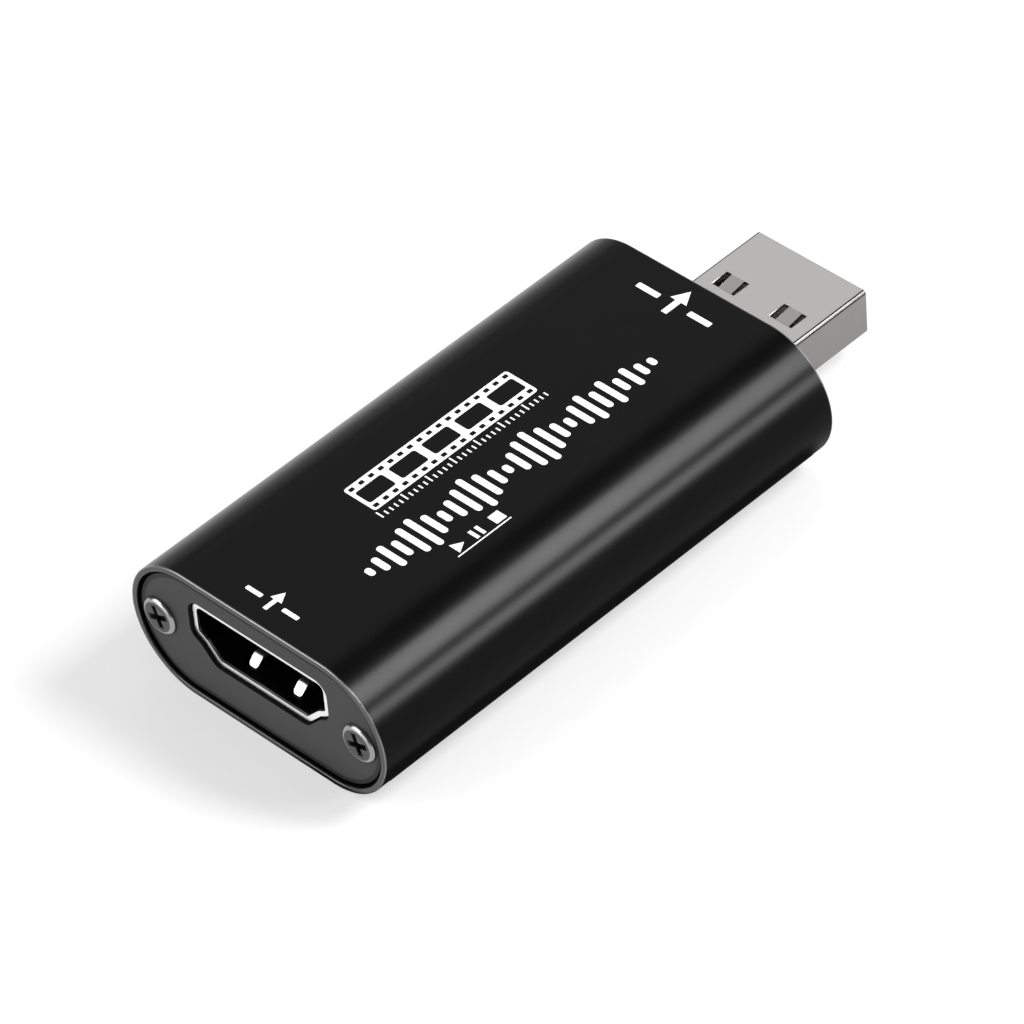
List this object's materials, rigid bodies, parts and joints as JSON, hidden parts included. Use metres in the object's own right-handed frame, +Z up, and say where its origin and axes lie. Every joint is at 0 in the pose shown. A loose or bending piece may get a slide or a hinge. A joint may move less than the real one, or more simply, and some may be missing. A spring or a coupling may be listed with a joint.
{
  "type": "video capture box",
  "caption": "Stick-shaped video capture box: flat oval metal case with screwed end plates, a video socket at one end and a host plug standing out of the other.",
  "frame": {"origin": "bottom centre of the whole part's box, plug and screw heads included; the flat underside of the case lies on z = 0", "axes": "+Y from the video socket to the tip of the host plug, +Z up through the broad top face, +X to the right seen from the socket end"},
  "size_m": [0.028, 0.064, 0.0128],
  "materials": {
    "case_metal": "satin black",
    "plate_metal": "satin dark grey",
    "screw_steel": "blackened",
    "socket_steel": "bright nickel",
    "plug_steel": "fine matt nickel",
    "black_plastic": "moulded",
    "contact_gold": "gold flash",
    "board_lacquer": "lacquered",
    "solder": "bright",
    "chip_resin": "fine grain",
    "can_steel": "satin",
    "ferrite": "pressed powder",
    "capacitor_resin": "moulded",
    "ceramic": "fired",
    "resistor_glaze": "glazed"
  },
  "bodies": {
    "root": {"case_tube": "case_metal", "input_end_plate": "plate_metal", "output_end_plate": "plate_metal", "input_plate_screws": "screw_steel", "output_plate_screws": "screw_steel", "circuit_board": "board_lacquer", "socket_shell": "socket_steel", "socket_housing": "black_plastic", "socket_upper_contacts": "contact_gold", "socket_lower_contacts": "contact_gold", "socket_leg_solder": "solder", "plug_shell": "plug_steel", "plug_carrier": "black_plastic", "plug_contacts": "contact_gold", "plug_wing_solder": "solder", "capture_chip": "chip_resin", "memory_chip": "chip_resin", "voltage_regulators": "chip_resin", "clock_crystal": "can_steel", "power_inductor": "ferrite", "bulk_capacitors": "capacitor_resin", "surge_protectors": "chip_resin", "ferrite_beads": "ferrite", "small_capacitors": "ceramic", "small_resistors": "resistor_glaze"}
  },
  "joints": []
}
